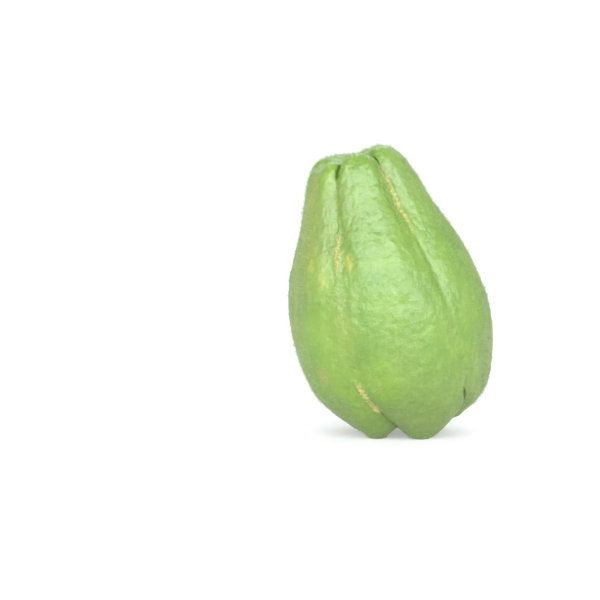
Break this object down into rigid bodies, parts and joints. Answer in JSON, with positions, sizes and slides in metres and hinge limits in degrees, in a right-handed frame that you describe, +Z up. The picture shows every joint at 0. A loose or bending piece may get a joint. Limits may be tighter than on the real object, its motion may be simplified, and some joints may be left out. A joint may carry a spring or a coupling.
{
  "type": "chayote squash",
  "caption": "Pear-shaped green chayote squash with a leaning ribbed neck, a sunken stem scar on the crown and a folded cleft underneath.",
  "frame": {"origin": "bottom centre of the fruit's bounding box, on the plane that its lobes stand on", "axes": "+Z up from the blossom end to the stem scar, -Y towards the front of the fruit, -X the side that the neck leans to"},
  "size_m": [0.0842, 0.0752, 0.1204],
  "materials": {
    "chayote_skin": "waxy semi-gloss light green rind with fine bumps, tan corky scars along two furrows and short pale bristles"
  },
  "bodies": {
    "root": {"chayote_fruit": "chayote_skin"}
  },
  "joints": []
}
